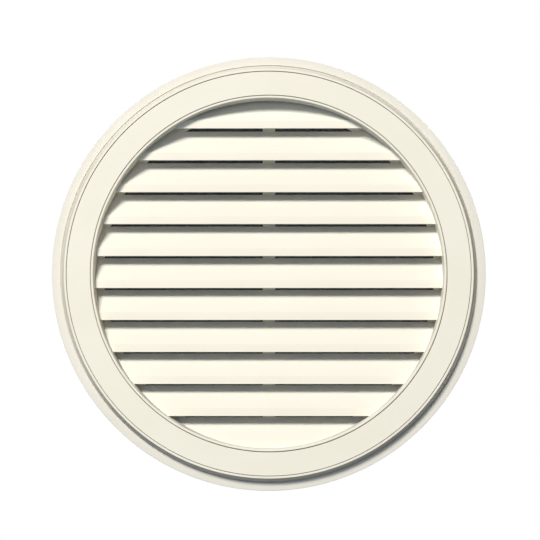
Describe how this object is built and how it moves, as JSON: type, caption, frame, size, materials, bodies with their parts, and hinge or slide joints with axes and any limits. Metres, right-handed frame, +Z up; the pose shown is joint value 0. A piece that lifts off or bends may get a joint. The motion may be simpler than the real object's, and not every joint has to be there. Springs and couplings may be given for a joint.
{
  "type": "round gable vent",
  "caption": "Round louvred vent for a gable wall: a flanged body with sloped, lipped blades, a clip-on trim ring with beaded rims, and an insect screen behind.",
  "frame": {"origin": "on the vent's axis, in the wall plane on which the flange's back lies", "axes": "+Y points into the wall along the vent's axis, the louvred face looks along -Y, +Z is up and +X is to the right seen from the front"},
  "size_m": [0.6984, 0.0599, 0.6984],
  "materials": {
    "body_plastic": "ivory moulded plastic with a low sheen",
    "ring_plastic": "ivory moulded plastic with a low sheen",
    "screen_mesh": "charcoal coated insect mesh"
  },
  "bodies": {
    "root": {"louvre_body": "body_plastic", "trim_ring": "ring_plastic", "insect_screen": "screen_mesh"}
  },
  "joints": []
}
